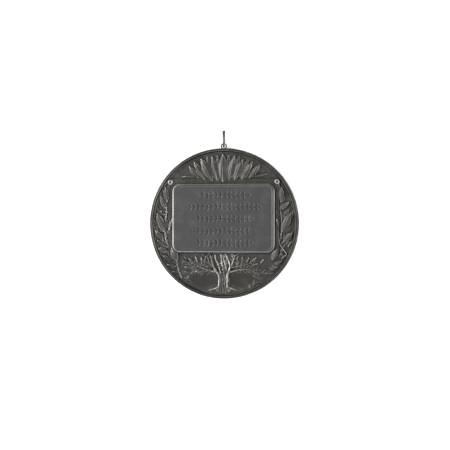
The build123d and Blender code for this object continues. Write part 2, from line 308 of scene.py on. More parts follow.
stems = [
    (0.45, [(218.0, 0.96, 0.12), (222.5, 0.86, 0.13), (230.0, 0.66, 0.11)]),
    (0.35, [(247.0, 0.26, 0.11), (254.0, 0.42, 0.13), (264.0, 0.42, 0.13), (276.0, 0.36, 0.12),
            (288.0, 0.38, 0.10)]),
    (0.50, [(115.5, 0.96, 0.15), (113.0, 0.60, 0.15), (109.5, 0.30, 0.13), (101.0, 0.18, 0.12),
            (92.0, 0.04, 0.11)]),
    (0.35, [(108.5, 0.28, 0.13), (99.0, 0.34, 0.13), (88.5, 0.34, 0.12), (78.0, 0.32, 0.11),
            (71.0, 0.38, 0.09)]),
]
tree_limbs = trunk_ribs + upper_branches + roots

# Smooth hollows beside the trunk: bearing and share of the middle, half length and half height.
hollows = [
    (200.0, 0.72, 4.5, 2.65),
    (161.3, 0.71, 4.3, 2.75),
]
hollow_depth = 0.10
hollow_edge = 0.35  # softness of the edge, in shares of the oval

# Knot on the trunk: bearing, share and radius. Its rings are stretched along the trunk and fade outwards.
knot = (181.9, 0.40, 1.4)
knot_height = 0.30
knot_squash = 0.8
knot_rings = 9.0
knot_fade = 1.6

# Small leaves in pairs along the side branches.
twig_start = 0.6  # station where they start
twig_steps = 60
twig_pitch = 1.15
twig_leaf = 2.0
twig_leaf_swing = 0.18
twig_leaf_share = 0.26  # width as a share of the length
twig_height = 0.32
twig_slant = 46.0
twig_slant_swing = 9.0

# Stalks from the leaves to their branch or stem.
stalk_width = 0.34
stalk_height = 0.34
stalk_steps = 8
stalk_lead = 0.8  # how far behind the base the branch is looked for
stalk_bend = 0.55
stalk_least = 0.15
stalk_reach = 3.2  # the farthest branch that a stalk runs to
stalk_rim_gap = 1.6  # no stalk starts nearer the field's edge than this

# Low leaves that fill the gaps of the fan and the sprays.
fill_seed = 41
fill_bearings = 29  # to each side of the eye
fill_pitch = 2.9
fill_splay = 1.06
fill_splay_jitter = 1.2
fill_start = (0.06, 0.10)
fill_start_slope = 0.004  # to a degree from the eye
fill_end = (0.62, 0.86)
fill_width = (0.16, 0.24)
fill_height = 0.30
side_leaf_share = 0.62  # length of a spray's low leaf as a share of the one beside it
side_leaf_width = 0.34
side_leaf_slant = 27.0
side_leaf_swing = 6.0
between_leaf_width = 0.30

# Engraved sprigs on the tablet: height above its middle and length, as shares of its height and width.
sprig_rows = [
    (0.335, 0.50),
    (0.165, 0.70),
    (-0.010, 0.56),
    (-0.190, 0.60),
    (-0.360, 0.54),
]
sprig_depth = 0.15
sprig_pitch = 1.5
sprig_start = 0.3  # the first pair's place, in pitches
sprig_wave = 0.2  # swing of the stem
sprig_band = 2.0  # how far a row reaches up and down
sprig_leaf = 1.45
sprig_leaf_width = 0.62
sprig_fullness = 0.9
sprig_slant = 56.0
stem_half = 0.16
stem_run = 0.08
stem_share = 0.8  # depth of the stem as a share of the leaves'
bead_radius = 0.34
bead_gap = 0.3
bead_run = 0.4
bead_share = 0.9

# Wear and grime, and the painted highlights and painted shade among them. What stands out of the blurred
# face is proud, and what lies under it is sunken.
fine_blur = 0.22
near_blur = 0.5
wear_ramp = (0.055, 0.20)
near_wear = 0.03
grime_ramp = (0.03, 0.38)
patch_grime = 0.08
left_ramp = (12.0, 5.0)  # to the left of the middle
right_ramp = (2.0, 8.0)
slope_ramp = (12.0, 8.0)
beside_ramp = (2.2, 1.5)  # to either side of the trunk
rim_wear_ramp = (-0.2, 0.3)  # past the field's edge
rim_grime_ramp = (-1.0, 0.6)
rim_slope_ramp = (-0.3, 0.3)
left_painted_light = 0.7  # how much lighter the left is painted: a painted highlight of the stronger light from the left
right_painted_shade = 0.3  # how much darker the right is painted: painted shade, as less light falls from the right
foot_rub = 0.5  # how much less the ground below the tablet is
rim_calm = 0.85  # how much less the field's edge is
spot_rub = 0.8  # how much more the bright spots are
# brightening of the tablet's outer border: part wear, part painted highlight
border_wear_and_highlight = 0.8
top_edge_shade = 0.95  # how much darker the tablet's top and foot edges are painted than its sides: painted shade, as the light comes from the sides
foot_edge_shade = 0.6
slope_painted_highlight = 0.30  # painted highlight on the rim's inner slope at the left, lightening the slope that the rim's wall shades
nail_wear = 0.7
# painted shade on the flat of the board beside the tablet
board_painted_shade = 0.45
hollow_grime = 0.75
rim_grime = 0.95
rim_left_highlight = 0.6  # how much less of it there is at the left: a painted highlight of the light from the left
rim_left_light_ramp = (0.3, 0.5)

# Places rubbed bright and places with little brown film: x, y and reach.
bright_spots = [
    (-16.9, -1.8, 2.2),
    (-6.5, 20.0, 2.6),
    (-0.8, 16.5, 1.8),
    (-17.6, -9.8, 1.8),
]
clean_patches = [
    (-12.0, -15.0, 9.0),
    (0.0, 24.0, 5.0),
]

# Wear and grime of the surfaces that have no relief.
hidden_tone = (0.0, 1.0)
plain_tone = (0.12, 0.15)
line_tone = (0.0, 0.8)
middles_tone = ((0.0, 0.3), (1.0, 0.1))  # of the points under the tablet and in the back's middle
eye_tone = (0.5, 0.12)
wire_wear = 0.55
wire_wear_swing = 0.2
wire_grime = 0.1

# Meshes
grid_step = 0.1
grid_margin = 2.0
disc_step = 0.125
disc_rings = 84  # from the tablet to the field's edge
slope_rings = (0.25, 0.5, 0.75, 1.0)
rim_shares = (0.3, 1.0)
round_angles = (22.5, 45.0, 67.5, 90.0)
back_shares = (0.66, 0.33)
bed_depth = 0.2  # how deep the disc's mesh goes down under the tablet
bed_margin = 0.05
tablet_bed = 0.3
tablet_step = 0.13
tablet_insets = (
    2.3, 2.0, 1.75, 1.5, 1.3, 1.15, 1.04, 0.96, 0.90, 0.84, 0.76, 0.66, 0.56, 0.47, 0.38, 0.30, 0.22, 0.16,
    0.11, 0.08, 0.05, 0.03, 0.0,
)


def place(bearing, share):
    """Plan position of a bearing and share, as in the tables."""
    across, up = math.sin(math.radians(bearing)), math.cos(math.radians(bearing))
    to_side = tablet_width / 2 / max(abs(across), 1e-9)
    to_end = (tablet_top if up > 0 else -tablet_foot) / max(abs(up), 1e-9)
    inner = min(to_side, to_end)
    reach = inner + share * (field_radius - inner)
    return np.array([reach * across, reach * up])


def ends(row):
    """Plan positions of a leaf's base and tip."""
    return place(*row[0:2]), place(*row[2:4])


def ease(value, start=0.0, run=1.0):
    """Smooth step from 0 to 1 over that run."""
    t = np.clip((value - start) / run, 0.0, 1.0)
    return t * t * (3 - 2 * t)


def ripple(x, y, height, size, seed):
    """Smooth random waves of about that height and size."""
    rng = np.random.default_rng(seed)
    total = np.zeros_like(x)
    for _ in range(ripple_waves):
        angle, phase = rng.uniform(0, 2 * math.pi, 2)
        wave = 2 * math.pi / size * rng.uniform(*ripple_spread)
        total += np.sin(wave * (x * math.cos(angle) + y * math.sin(angle)) + phase)
    return height * (total / math.sqrt(ripple_waves) / 1.6)


def smooth_line(points, spread):
    """Catmull-Rom curve through the points, at the given stations."""
    padded = np.vstack([2 * points[0] - points[1], points, 2 * points[-1] - points[-2]])
    line = []
    for s in spread:
        i = min(int(s), len(points) - 2)
        t = s - i
        a, b, c, d = padded[i : i + 4]
        square = (2 * a - 5 * b + 4 * c - d) * t**2
        cube = (3 * b - a - 3 * c + d) * t**3
        line.append(0.5 * ((2 * b) + (c - a) * t + square + cube))
    return np.array(line)


def limb_line(stations, start=0.0, steps=None):
    """Smooth line of a limb, from its first station or a later one."""
    points = np.array([place(bearing, share) for bearing, share, _ in stations])
    last = len(points) - 1
    return smooth_line(points, np.linspace(start, last, steps or limb_steps * last + 1))


def inset_in(x, y, width, height, rise, corner):
    """Distance inside a rounded rectangle's outline, negative outside."""
    far_x = np.abs(x) - (width / 2 - corner)
    far_y = np.abs(y - rise) - (height / 2 - corner)
    outside = np.hypot(np.maximum(far_x, 0), np.maximum(far_y, 0))
    inside = np.minimum(np.maximum(far_x, far_y), 0)
    return corner - outside - inside


def in_tablet_at(x, y):
    """Distance inside the tablet's outline."""
    return inset_in(x, y, tablet_width, tablet_height, tablet_rise, tablet_corner)


def in_board_at(x, y):
    """Distance inside the board's outline."""
    width = tablet_width + 2 * board_side_margin
    height = tablet_height + board_top_margin + board_foot_margin
    rise = tablet_rise + (board_top_margin - board_foot_margin) / 2
    return inset_in(x, y, width, height, rise, board_corner)


def out_of_hollows(x, y):
    """For each hollow, how far out of its middle the points are, 1 at its edge."""
    for bearing, share, half_long, half_high in hollows:
        centre = place(bearing, share)
        yield np.hypot((x - centre[0]) / half_long, (y - centre[1]) / half_high)


def out_of_nails(x, y):
    """For each nail head, how far out of its middle the points are, 1 at its edge. The heads lie just
    inside the field's edge, in line with the tablet's corners."""
    reach = field_radius - nail_edge_gap - nail_radius
    bearing = math.atan2(tablet_width / 2, tablet_top)
    for side in (-1, 1):
        gap_x, gap_y = x - side * reach * math.sin(bearing), y - reach * math.cos(bearing)
        yield np.hypot(gap_x, gap_y) / nail_radius


def bump(distance, height, centre, half):
    """Smooth ridge of that height, place and half width."""
    return height * np.exp(-(((distance - centre) / half) ** 2))


def turned(vector, angle):
    """A plan vector turned anticlockwise by an angle in degrees."""
    c, s = math.cos(math.radians(angle)), math.sin(math.radians(angle))
    return np.array([vector[0] * c - vector[1] * s, vector[0] * s + vector[1] * c])


def leaf_height(x, y, base, tip, width_share, height_share):
    """Height of a leaf, and -1 outside it: domed blade, raised midrib, faint veins and a thin lip."""
    length = math.hypot(*(tip - base))
    along = (tip - base) / length
    dx, dy = x - base[0], y - base[1]
    t = (dx * along[0] + dy * along[1]) / length
    v = dy * along[0] - dx * along[1]
    out = np.full_like(x, -1.0)
    half_max = width_share * length / 2
    near = (t > 0) & (t < 1) & (np.abs(v) < half_max)
    t, v = t[near], v[near]
    half = half_max * np.sin(math.pi * t**leaf_broadest) ** leaf_fullness
    inside = half - np.abs(v)
    q = np.clip(np.abs(v) / np.maximum(half, 1e-6), 0, 1)
    lift = height_share * relief_height * (leaf_base_share + (1 - leaf_base_share) * t)
    lift = lift * (1 - tip_droop * ease(t, *tip_ramp))
    blade = leaf_edge_share + (1 - leaf_edge_share) * (1 - q**2)
    rib = bump(v, *leaf_rib) + bump(np.abs(v), *leaf_groove)
    waves = np.sin(2 * math.pi * (t * length / vein_pitch - vein_slant * q))
    veins = vein_height * waves * ease(q / 0.3) * ease((1 - q) / 0.25)
    lip = bump(inside, *leaf_lip) * (0.7 + 0.6 * ease(-v / 0.2))
    detail = ease(half / full_half) * (rib + veins + lip)
    z = field_level + (lift * blade + detail) * ease(inside / soft_run)
    out[near] = np.where(inside > 0, z, -1.0)
    return out


def twig_leaves(stations):
    """Base and tip of small leaves in pairs along a branch, slanting towards its end."""
    line = limb_line(stations, twig_start, twig_steps)
    run = np.concatenate([[0], np.cumsum(np.hypot(*np.diff(line, axis=0).T))])
    pairs = []
    for i in range(int(run[-1] / twig_pitch) + 1):
        at = np.searchsorted(run, i * twig_pitch)
        base = line[min(at, len(line) - 1)]
        ahead = line[min(at + 1, len(line) - 1)] - line[min(at, len(line) - 2)]
        for way in (-1, 1):
            slant = way * (twig_slant + twig_slant_swing * math.sin(2.3 * i + way))
            length = twig_leaf * (1 + twig_leaf_swing * math.sin(1.7 * i + 2 * way))
            pairs.append((base, base + length * turned(ahead / math.hypot(*ahead), slant)))
    return pairs


def fan_fill():
    """Base, tip and width share of the fan's low blades, fanned out by small seeded steps."""
    rng = np.random.default_rng(fill_seed)
    leaves = []
    for bearing in np.arange(-fill_bearings, fill_bearings + 1, fill_pitch):
        lean = bearing * fill_splay + rng.uniform(-fill_splay_jitter, fill_splay_jitter)
        start = rng.uniform(*fill_start) + fill_start_slope * abs(bearing)
        end = rng.uniform(*fill_end)
        leaves.append((place(bearing, start), place(lean, end), rng.uniform(*fill_width)))
    return leaves


def side_leaves(rows):
    """Base, tip and width share of a low leaf beside each leaf of a spray, on alternate sides."""
    leaves = []
    for i, row in enumerate(rows):
        base, tip = ends(row)
        slant = (side_leaf_slant + side_leaf_swing * math.sin(2.1 * i)) * (1 if i % 2 else -1)
        leaves.append((base, base + turned((tip - base) * side_leaf_share, slant), side_leaf_width))
    return leaves


def between_leaves(rows):
    """Base, tip and width share of a low leaf between each two neighbours of a spray."""
    leaves = []
    for row, after in zip(rows[:-1], rows[1:]):
        base, tip = ends(row)
        next_base, next_tip = ends(after)
        leaves.append(((base + next_base) / 2, (tip + next_tip) / 2, between_leaf_width))
    return leaves


def low_leaves():
    """Base, tip and width share of all the low leaves."""
    leaves = fan_fill() + side_leaves(left_leaves + right_leaves + crown_leaves)
    leaves += between_leaves(left_leaves) + between_leaves(right_leaves)
    return leaves + [(*ends(row), row[4]) for row in foot_leaves]


def stalk_line(base, heading, every):
    """Curve from a leaf's base, back along its heading, to the nearest point of a branch, or None if it is
    too far."""
    gaps = np.hypot(*(every - (base - stalk_lead * heading)).T)
    joint = every[np.argmin(gaps)]
    reach = math.hypot(*(joint - base))
    too_far_out = math.hypot(*joint) > field_radius - stalk_rim_gap
    if too_far_out or not stalk_least < reach < stalk_reach:
        return None
    bend = base - heading * reach * stalk_bend
    t = np.linspace(0, 1, stalk_steps)[:, None]
    return (1 - t) ** 2 * base + 2 * t * (1 - t) * bend + t**2 * joint


def stalks():
    """Curves of all the stalks of leaves and berries."""
    crown, spray = (
        np.vstack([limb_line(stations) for _, stations in limbs])
        for limbs in (side_branches + tree_limbs, stems)
    )
    starts = [(*ends(row), crown) for row in crown_leaves]
    starts += [(*ends(row), spray) for row in left_leaves + right_leaves]
    starts += [(place(*row), place(*row) + (0.0, 1.0), spray) for row in berries]
    curves = []
    for base, tip, every in starts:
        curves.append(stalk_line(base, (tip - base) / math.hypot(*(tip - base)), every))
    return [curve for curve in curves if curve is not None]


def limb_height(x, y, height_share, stations, seed):
    """Height of a branch or stem."""
    line = limb_line(stations)
    spread = np.linspace(0, len(stations) - 1, len(line))
    width = np.interp(spread, np.arange(len(stations)), [share * trunk_width for _, _, share in stations])
    return ridge_height(x, y, line, width, height_share, seed)


def ridge_height(x, y, line, width, height_share, seed):
    """Height of a round ridge along a line, with furrows of bark along it where it is wide."""
    nearest = np.full_like(x, 1e9)
    offset = np.zeros_like(x)
    half = np.full_like(x, 0.1)
    run = np.zeros_like(x)
    passed = 0.0
    for i in range(len(line) - 1):
        a, b = line[i], line[i + 1]
        reach = width[i] / 2 + 0.1
        box = (x > min(a[0], b[0]) - reach) & (x < max(a[0], b[0]) + reach)
        box &= (y > min(a[1], b[1]) - reach) & (y < max(a[1], b[1]) + reach)
        step = math.hypot(*(b - a))
        along = (b - a) / step
        dx, dy = x[box] - a[0], y[box] - a[1]
        t = np.clip((dx * along[0] + dy * along[1]) / step, 0, 1)
        gap = np.hypot(dx - t * step * along[0], dy - t * step * along[1])
        side = dy * along[0] - dx * along[1]
        closer = gap < nearest[box]
        where = np.flatnonzero(box)[closer]
        nearest[where] = gap[closer]
        offset[where] = side[closer]
        half[where] = ((1 - t) * width[i] + t * width[i + 1])[closer] / 2
        run[where] = passed + (t * step)[closer]
        passed += step
    q = np.clip(nearest / half, 0, 1)
    taper = ease((passed - run) / (limb_taper * half))
    lift = np.minimum(2 * half, height_share * relief_height) * taper
    furrow = np.sin(offset / furrow_size + furrow_swing * np.sin(run * furrow_wave + seed))
    depth = furrow_depth + trunk_furrow * ease(half, *trunk_ramp)
    bark = depth * furrow * ease(half, *furrow_ramp) + lump_height * np.sin(run * lump_wave + seed * 1.7)
    top = limb_side_share + (1 - limb_side_share) * np.sqrt(1 - q**2)
    z = field_level + lift * top * ease((half - nearest) / crisp_run)
    z += bark * taper * ease((half - nearest) / bark_run)
    return np.where(nearest < half, z, -1.0)


def engraved(x, y):
    """Depth of the sprigs cut in the tablet: stems with pairs of small leaves, and a bead at each end."""
    depth = np.zeros_like(x)
    swing = 2 * math.pi / (4 * sprig_pitch)
    for level, share in sprig_rows:
        reach = share * tablet_width / 2
        dy = y - (tablet_rise + level * tablet_height)
        near = (np.abs(dy) < sprig_band) & (np.abs(x) < reach + sprig_pitch)
        across, up = np.abs(x[near]), dy[near]
        wave = sprig_wave * np.sin(across * swing)
        cut = stem_share * ease((stem_half - np.abs(up - wave)) / stem_run) * (across < reach)
        for i in range(int(reach / sprig_pitch)):
            root = (i + sprig_start) * sprig_pitch
            dx, dz = across - root, up - sprig_wave * math.sin(root * swing)
            for way in (1, -1):
                tilt = math.radians(sprig_slant) * way
                t = (dx * math.cos(tilt) + dz * math.sin(tilt)) / sprig_leaf
                v = dz * math.cos(tilt) - dx * math.sin(tilt)
                half = np.sin(math.pi * np.clip(t, 0, 1)) ** sprig_fullness * sprig_leaf_width / 2
                cut = np.maximum(cut, ease((half - np.abs(v)) / crisp_run) * (t > 0) * (t < 1))
        bead = np.hypot(across - reach - bead_gap, up) / bead_radius
        cut = np.maximum(cut, bead_share * ease((1 - bead) / bead_run))
        depth[near] = np.maximum(depth[near], sprig_depth * cut)
    return depth


def field_height(x, y):
    """Height of the rough field, with the smooth hollows, the ground under the tree and the board."""
    z = field_level + ripple(x, y, *field_swell) + ripple(x, y, *field_matting)
    for q in out_of_hollows(x, y):
        smooth = ease((1 + hollow_edge / 2 - q) / hollow_edge)
        z = z * (1 - smooth) + (field_level - hollow_depth * (1 - np.clip(q, 0, 1) ** 2)) * smooth

    top = place(180, ground_top_share)[1]
    in_hill = ground_radius - np.hypot(x, y - (top - ground_radius))
    hill = field_level + (ground_level - field_level) * ease(in_hill / ground_run)
    hill += ripple(x, y, *ground_lumps) * ease(in_hill / 0.6)
    z = np.maximum(z, np.where(in_hill > 0, hill, -1))

    in_board = in_board_at(x, y)
    board = field_level + (board_level - field_level) * ease(in_board / soft_run)
    return np.maximum(z, np.where(in_board > 0, board, -1))


def tablet_top_height(x, y):
    """Height of the tablet: steep wall, rounded border, slightly dished panel and the sprigs cut in it."""
    inset = in_tablet_at(x, y)
    shoulder = (1 - wall_share) * ease(inset / shoulder_run) ** shoulder_curve
    z = board_level + (tablet_level - board_level) * (wall_share * ease(inset / wall_run) + shoulder)
    z = z - panel_depth * ease((inset - border_width) / crisp_run)
    z = z - panel_dish * ease((inset - dish_inset) / dish_width) + ripple(x, y, *panel_swell)
    return z - engraved(x, y)


def face_height(x, y):
    """Height of the struck face at each point of the plan."""
    z = field_height(x, y)
    for base, tip, width_share in low_leaves():
        z = np.maximum(z, leaf_height(x, y, base, tip, width_share, fill_height))
    for _, stations in side_branches + upper_branches:
        for base, tip in twig_leaves(stations):
            z = np.maximum(z, leaf_height(x, y, base, tip, twig_leaf_share, twig_height))
    for line in stalks():
        width = np.full(len(line), stalk_width)
        z = np.maximum(z, ridge_height(x, y, line, width, stalk_height, 0))
    for i, (height_share, stations) in enumerate(stems + side_branches + tree_limbs):
        z = np.maximum(z, limb_height(x, y, height_share, stations, i))
    for row in fan_leaves + left_leaves + right_leaves + crown_leaves:
        z = np.maximum(z, leaf_height(x, y, *ends(row), *row[4:6]))

    centre = place(*knot[0:2])
    q = np.hypot(x - centre[0], (y - centre[1]) * knot_squash) / knot[2]
    z += knot_height * np.cos(q * knot_rings + ripple(x, y, *knot_swirl)) * np.exp(-(q**2) * knot_fade)
    z += ripple(x, y, *relief_lumps) * ease((z - field_level - 0.1) / 0.3)
    for bearing, share in berries:
        centre = place(bearing, share)
        q = np.hypot(x - centre[0], y - centre[1]) / berry_radius
        dome = (berry_radius - berry_sink) * np.sqrt(np.clip(1 - q**2, 0, 1))
        z = np.where(q < 1, np.maximum(z, field_level + dome), z)
    for q in out_of_nails(x, y):
        head = nail_level - nail_fall * np.clip((q - nail_flat) / (1 - nail_flat), 0, 1) ** 2
        head -= nail_pit_depth * ease((nail_pit - q) / nail_pit_run)
        raised = field_level + (head - field_level) * ease((1 - q) / crisp_run)
        z = np.where(q < 1, np.maximum(z, raised), z)
    z = np.where(in_tablet_at(x, y) > 0, np.maximum(tablet_top_height(x, y), z), z)

    slope = (np.hypot(x, y) - field_radius) / rim_slope
    rim = field_level + relief_height * np.clip(slope, 0, 1) ** slope_curve
    return np.where(slope > 0, np.maximum(np.minimum(z, edge_height), rim), z)


def blurred(values, size):
    """The grid blurred by a round bell of that size."""
    wave = np.fft.fftfreq(len(grid_axis), grid_step)
    spread = np.exp(-2 * (math.pi * size) ** 2 * (wave[:, None] ** 2 + wave[None, :] ** 2))
    return np.real(np.fft.ifft2(np.fft.fft2(values) * spread))


def look_up(values, x, y):
    """Value of the grid at each point."""
    u = (x + grid_half) / grid_step
    v = (y + grid_half) / grid_step
    i = np.clip(u.astype(int), 0, len(grid_axis) - 2)
    j = np.clip(v.astype(int), 0, len(grid_axis) - 2)
    a, b = u - i, v - j
    low = values[j, i] * (1 - a) + values[j, i + 1] * a
    high = values[j + 1, i] * (1 - a) + values[j + 1, i + 1] * a
    return low * (1 - b) + high * b


def near_any(x, y, places):
    """From 1 in the middle of any of the places to 0 far from all of them."""
    spread = [((x - px) ** 2 + (y - py) ** 2) / reach**2 for px, py, reach in places]
    return np.exp(-np.min(spread, axis=0))


def rub_and_side_light_at(x, y):
    """How much the proud places are rubbed, as a factor of their brightening, and painted lighter at the
    left and darker at the right: painted highlight and painted shade of the side light.
    """
    rubbed_and_lit = 1 - right_painted_shade * ease(x, *right_ramp) + left_painted_light * ease(-x, *left_ramp)
    beside = ease(tablet_foot - y) * ease(np.abs(x), *beside_ramp)
    return rubbed_and_lit * (1 - foot_rub * beside) + spot_rub * near_any(x, y, bright_spots)


def wear_and_highlight_at(x, y):
    """Brightening from 0 to 1: rubbed bright on proud edges and the nail heads, painted lighter at the
    left, and a painted highlight on the rim's slope at the left.
    """
    past = np.hypot(x, y) - field_radius
    wear_and_highlight = ease(look_up(fine_relief, x, y) + near_wear * look_up(near_relief, x, y), *wear_ramp)
    wear_and_highlight = wear_and_highlight * (1 + ripple(x, y, *wear_spots)) * rub_and_side_light_at(x, y)
    wear_and_highlight = wear_and_highlight * (1 - rim_calm * ease(past, *rim_wear_ramp))
    # painted highlight on the rim's inner slope at the left, where the rim's wall shades it
    wear_and_highlight = np.maximum(wear_and_highlight, slope_painted_highlight * ease(past, *rim_slope_ramp) * ease(-x, *slope_ramp))
    wear_and_highlight = wear_and_highlight * (1 - engraved(x, y) / sprig_depth)
    for q in out_of_nails(x, y):
        wear_and_highlight = np.maximum(wear_and_highlight, nail_wear * ease((1.0 - q) / 0.15) * ease((q - 0.35) / 0.2))
    return np.clip(wear_and_highlight, 0, 1)


def grime_and_shade_at(x, y):
    """Darkening from 0 to 1: dirt dark in the corners, the hollows and the sprigs, painted shade on the
    board beside the tablet, and less of it at the rim, least at its left, a painted highlight.
    """
    past = np.hypot(x, y) - field_radius
    patches = 0.5 + ripple(x, y, *grime_patches)
    grime_and_shade = ease(patch_grime * patches - look_up(near_relief, x, y), *grime_ramp)
    # less grime past the field's edge, and less still at the left: a painted highlight of the light from
    # the left
    grime_and_shade = grime_and_shade * (1 - ease(past, *rim_grime_ramp) * (0.7 + 0.3 * ease(-x, *slope_ramp)))
    flat = np.abs(look_up(grid_z, x, y) - board_level) < 0.06
    # painted shade on the board's flat beside the tablet
    on_board = (in_board_at(x, y) > 0) & (in_tablet_at(x, y) < 0) & flat
    grime_and_shade = np.maximum(grime_and_shade, board_painted_shade * on_board)
    for q in out_of_hollows(x, y):
        grime_and_shade = np.maximum(grime_and_shade, hollow_grime * ease((1.05 - q) / 0.2))
    return np.maximum(grime_and_shade, engraved(x, y) / sprig_depth)


def film_at(x, y):
    """Brown film, from 0 to 1: all over but for the clean patches."""
    return np.clip(0.8 * (1 - near_any(x, y, clean_patches)) + ripple(x, y, *film_patches), 0, 1)


def outline(step):
    """Points on the tablet's core rectangle and the normals there, clockwise: point + d * normal runs round
    a rounded rectangle. Also each point's place on the core's grid, as column and row."""
    half_x, half_y = tablet_width / 2 - tablet_corner, tablet_height / 2 - tablet_corner
    columns, rows = round(2 * half_x / step), round(2 * half_y / step)
    turns = round(math.pi / 2 * tablet_corner / step)
    corners = np.array([(0, rows), (columns, rows), (columns, 0), (0, 0), (0, rows)])
    cells, angles = [], []
    for k in range(4):
        count = (columns, rows)[k % 2]
        out = math.pi / 2 - k * math.pi / 2
        cells += [corners[k] + (corners[k + 1] - corners[k]) * i // count for i in range(count)]
        cells += [corners[k + 1]] * turns
        angles += [out] * count + [out - math.pi / 2 * i / turns for i in range(turns)]
    cells = np.array(cells)
    core = np.column_stack([
        -half_x + cells[:, 0] * 2 * half_x / columns,
        tablet_rise - half_y + cells[:, 1] * 2 * half_y / rows,
    ])
    return core, np.column_stack([np.cos(angles), np.sin(angles)]), cells, columns, rows


def make_object(name, rows, tones, faces):
    """Smooth mesh piece from rows of points in millimetres, with each row's tone: brightening by rubbing
    and painted highlight, and darkening by dirt and painted shade.
    """
    points = np.vstack(rows)
    mesh = bpy.data.meshes.new(name)
    mesh.from_pydata([tuple(point) for point in points * MM], [], faces)
    mesh.validate()
    mesh.polygons.foreach_set("use_smooth", [True] * len(mesh.polygons))
    spread = [[np.broadcast_to(value, len(row)) for value in tone] for row, tone in zip(rows, tones)]
    wear_and_highlight, grime_and_shade = (np.concatenate(values) for values in zip(*spread))
    film = film_at(points[:, 0], points[:, 1])
    for key, values in (("wear_and_highlight", wear_and_highlight), ("grime_and_shade", grime_and_shade), ("film", film)):
        layer = mesh.attributes.new(key, "FLOAT", "POINT")
        layer.data.foreach_set("value", values.astype(np.float32))
    mesh.update()
    piece = bpy.data.objects.new(name, mesh)
    bpy.context.scene.collection.objects.link(piece)
    return piece


def at_height(plan, z):
    """Points of the plan at that height."""
    return np.column_stack([plan, np.broadcast_to(z, len(plan))])


def bridge(upper, lower):
    """Faces between two closed rows of vertex numbers, leaving out the sides that have no length."""
    faces = []
    count = len(upper)
    for k in range(count):
        n = (k + 1) % count
        corners = [upper[k], upper[n], lower[n], lower[k]]
        face = [c for i, c in enumerate(corners) if c != corners[i - 1]]
        if len(face) > 2:
            faces.append(tuple(face))
    return faces


def skin(rows, count):
    """Faces between each closed row of that many points and the next."""
    faces = []
    for start in range(0, (rows - 1) * count, count):
        faces += bridge(range(start, start + count), range(start + count, start + 2 * count))
    return faces


def fan(row, middle):
    """Triangles between a closed row and the point in its middle."""
    return [(this, middle, after) for this, after in zip(row, [*row[1:], row[0]])]


def disc_rows(core, normals):
    """Plan, height and tone of the disc's closed rows of points, from under the tablet out over the face
    and in again over the back."""
    foot = core + tablet_corner * normals
    out = foot / np.hypot(foot[:, 0], foot[:, 1])[:, None]
    yield core + (tablet_corner - bed_margin) * normals, field_level - bed_depth, hidden_tone
    plans = [foot + (out * field_radius - foot) * (j / disc_rings) for j in range(disc_rings + 1)]
    plans += [out * (field_radius + share * rim_slope) for share in slope_rings]
    for plan in plans:
        x, y = plan.T
        yield plan, face_height(x, y), (wear_and_highlight_at(x, y), grime_and_shade_at(x, y))

    # the rim's grime, with less of it at the left: a painted highlight of the light from the left
    rim_tone = (0.0, rim_grime * (1 - rim_left_highlight * ease(-out[:, 0], *rim_left_light_ramp)))
    turns = [(math.sin(math.radians(a)), math.cos(math.radians(a))) for a in round_angles]
    flat = rim_width - edge_round
    line = medal_radius - back_line_inset
    rows = [(medal_radius - rim_width + share * flat, edge_height) for share in rim_shares]
    rows += [(medal_radius - edge_round * (1 - s), edge_height - edge_round * (1 - c)) for s, c in turns]
    for k, (radius, z) in enumerate(rows):
        yield out * radius, z, rim_tone if k <= len(rim_shares) else plain_tone
    rows = [(medal_radius, edge_height / 2), (medal_radius, edge_round)]
    rows += [(medal_radius - edge_round * (1 - c), edge_round * (1 - s)) for s, c in turns]
    rows += [(line + back_line_width / 2, 0.0), (line, back_line_depth), (line - back_line_width / 2, 0.0)]
    rows += [(line * share, 0.0) for share in back_shares]
    for radius, z in rows:
        yield out * radius, z, line_tone if z == back_line_depth else plain_tone


def disc():
    """The struck disc with its relief, rim, edge and back, as one closed mesh."""
    core, normals, *_ = outline(disc_step)
    plans, heights, tones = zip(*disc_rows(core, normals))
    rows = [at_height(plan, z) for plan, z in zip(plans, heights)]
    count, total = len(core), len(core) * len(rows)
    faces = skin(len(rows), count) + fan(range(count), total)
    faces += fan(range(total - 1, total - count - 1, -1), total + 1)
    middles = np.array([[0, tablet_rise, field_level - bed_depth], [0, 0, 0]])
    return make_object("struck_disc", [*rows, middles], [*tones, middles_tone], faces)


